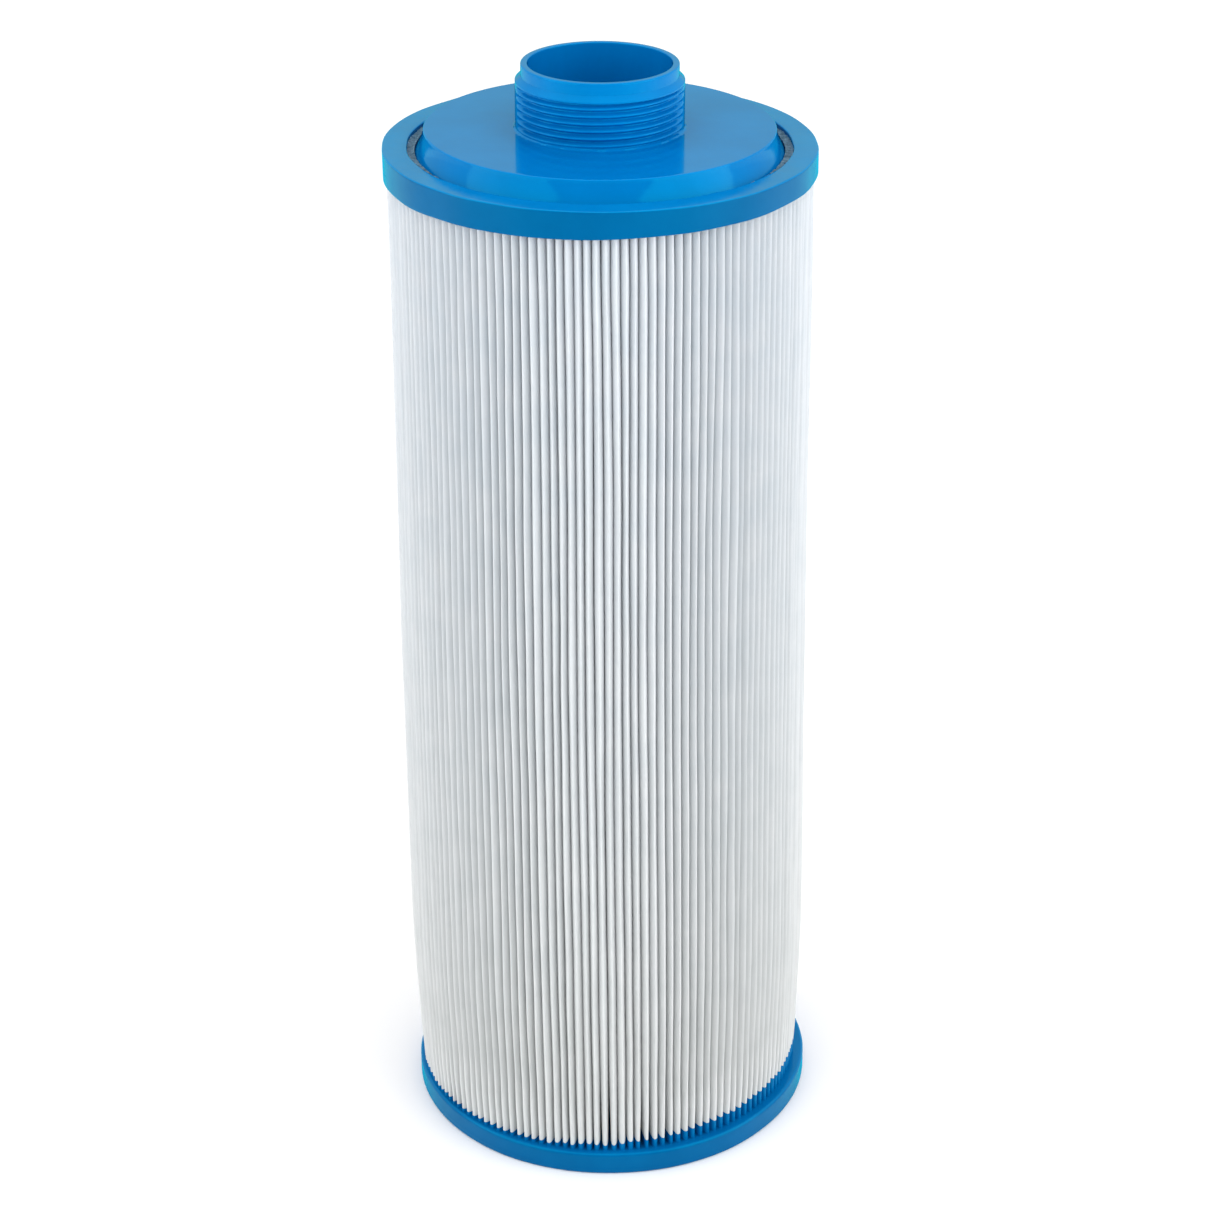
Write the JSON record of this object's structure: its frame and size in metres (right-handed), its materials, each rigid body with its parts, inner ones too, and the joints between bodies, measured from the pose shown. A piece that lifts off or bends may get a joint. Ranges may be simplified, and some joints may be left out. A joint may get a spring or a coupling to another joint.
{
  "type": "pleated filter cartridge",
  "caption": "Cylindrical pleated filter cartridge for a pool or spa, closed at the bottom, with a male threaded outlet neck on top.",
  "frame": {"origin": "centre of the bottom face, on the cartridge's axis", "axes": "+Z along the cartridge's axis, from the closed end up to the threaded outlet; +X and +Y are free, with the seam of the pleated sheet on +Y"},
  "size_m": [0.126, 0.126, 0.338],
  "materials": {
    "fitting": "glossy moulded plastic, mid blue",
    "end_cap": "cast polyurethane, smooth, semi-gloss, mid blue",
    "media": "white non-woven polyester, matt",
    "sealant": "rough grey potting adhesive",
    "core": "natural white moulded polypropylene",
    "seam_glue": "milky hot-melt adhesive"
  },
  "bodies": {
    "root": {"bottom_end_cap": "end_cap", "core_closure": "core", "core_section_lower": "core", "core_section_middle": "core", "core_section_upper": "core", "pleated_media": "media", "media_seam": "seam_glue", "top_end_cap": "end_cap", "groove_sealant": "sealant", "threaded_adapter": "fitting"}
  },
  "joints": []
}
